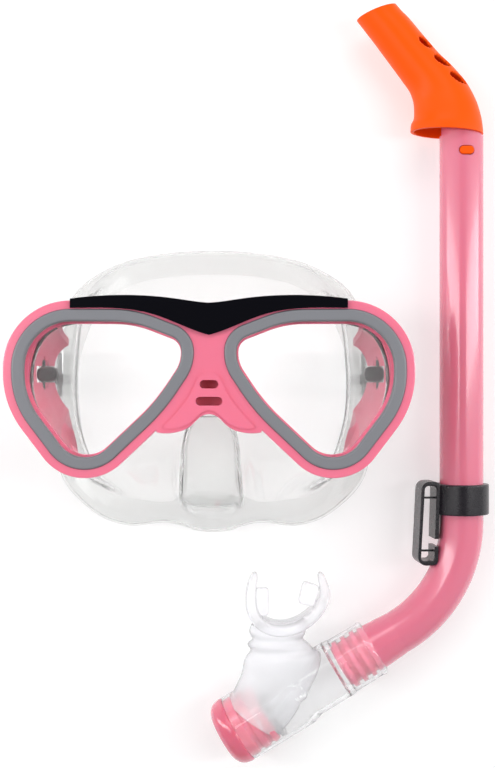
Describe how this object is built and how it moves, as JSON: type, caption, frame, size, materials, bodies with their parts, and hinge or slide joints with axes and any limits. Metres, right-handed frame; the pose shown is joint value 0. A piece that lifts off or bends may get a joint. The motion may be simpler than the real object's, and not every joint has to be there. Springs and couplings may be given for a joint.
{
  "type": "snorkel mask",
  "caption": "Diving mask with two lenses and a clear silicone skirt, with its J-shaped snorkel, splash guard, strap keeper and purge chamber.",
  "frame": {"origin": "middle of the set's footprint, on the surface that mask and snorkel lie on", "axes": "+Z out of the lenses, +Y towards the brow and the snorkel's top, +X from the mask to the snorkel"},
  "size_m": [0.1991, 0.3265, 0.0706],
  "materials": {
    "pink_frame": "moulded gloss",
    "black_gloss": "polished",
    "bezel_grey": "satin",
    "lens_glass": "polished tempered glass",
    "clear_silicone": "smooth clear silicone",
    "pin_black": "moulded",
    "clear_plastic": "clear moulded",
    "pink_tube": "extruded semi-gloss",
    "guard_orange": "satin moulded",
    "keeper_black": "moulded with grey sheen",
    "cap_pink": "translucent moulded"
  },
  "bodies": {
    "mask": {"mask_frame": "pink_frame", "brow_trim": "black_gloss", "lens_bezel_left": "bezel_grey", "lens_bezel_right": "bezel_grey", "lens_left": "lens_glass", "lens_right": "lens_glass", "skirt": "clear_silicone", "buckle_pin_left": "pin_black", "buckle_pin_right": "pin_black", "strap": "clear_silicone"},
    "snorkel": {"snorkel_tube": "pink_tube", "splash_guard": "guard_orange"},
    "guard_button": {"guard_button": "guard_orange"},
    "keeper": {"keeper_band": "keeper_black", "keeper_clip": "keeper_black"},
    "mouth": {"chamber": "clear_plastic", "mouthpiece": "clear_silicone", "purge_cap": "cap_pink", "valve_seat": "clear_plastic"},
    "purge_flap": {"purge_valve": "clear_silicone"},
    "buckle_left": {"swivel_knob_left": "pin_black", "buckle_left": "clear_plastic", "strap_end_left": "clear_silicone"},
    "roller_left": {"strap_roller_left": "clear_plastic"},
    "latch_left": {"latch_button_left": "clear_plastic"},
    "buckle_right": {"swivel_knob_right": "pin_black", "buckle_right": "clear_plastic", "strap_end_right": "clear_silicone"},
    "roller_right": {"strap_roller_right": "clear_plastic"},
    "latch_right": {"latch_button_right": "clear_plastic"}
  },
  "joints": [
    {"name": "snorkel_take_away", "type": "slide", "parent": "mask", "child": "snorkel", "axis": [1, 0, 0], "range_m": [0, 0.06]},
    {"name": "keeper_slide", "type": "slide", "parent": "snorkel", "child": "keeper", "axis": [0, 1, 0], "range_m": [0, 0.12]},
    {"name": "mouthpiece_swivel", "type": "hinge", "parent": "snorkel", "child": "mouth", "pos_m": [0.03576, -0.12124, 0.016], "axis": [-0.8572, -0.515, 0], "range_deg": [-90, 90]},
    {"name": "guard_button_press", "type": "slide", "parent": "snorkel", "child": "guard_button", "axis": [0, 0, -1], "range_m": [0, 0.0012], "stiffness_N_per_m": 400},
    {"name": "purge_valve_lift", "type": "slide", "parent": "mouth", "child": "purge_flap", "axis": [-0.8572, -0.515, 0], "range_m": [0, 0.0012], "stiffness_N_per_m": 60},
    {"name": "buckle_swing_left", "type": "hinge", "parent": "mask", "child": "buckle_left", "pos_m": [-0.0878, 0.00435, 0.045], "axis": [0, 1, 0], "range_deg": [0, 40]},
    {"name": "roller_spin_left", "type": "hinge", "parent": "buckle_left", "child": "roller_left", "pos_m": [-0.0878, 0.00435, 0.0224], "axis": [0, 1, 0], "continuous": true},
    {"name": "latch_press_left", "type": "slide", "parent": "buckle_left", "child": "latch_left", "axis": [-1, 0, 0], "range_m": [0, 0.0009], "stiffness_N_per_m": 300},
    {"name": "buckle_swing_right", "type": "hinge", "parent": "mask", "child": "buckle_right", "pos_m": [0.0494, 0.00435, 0.045], "axis": [0, -1, 0], "range_deg": [0, 40]},
    {"name": "roller_spin_right", "type": "hinge", "parent": "buckle_right", "child": "roller_right", "pos_m": [0.0494, 0.00435, 0.0224], "axis": [0, 1, 0], "continuous": true},
    {"name": "latch_press_right", "type": "slide", "parent": "buckle_right", "child": "latch_right", "axis": [1, 0, 0], "range_m": [0, 0.0009], "stiffness_N_per_m": 300}
  ]
}
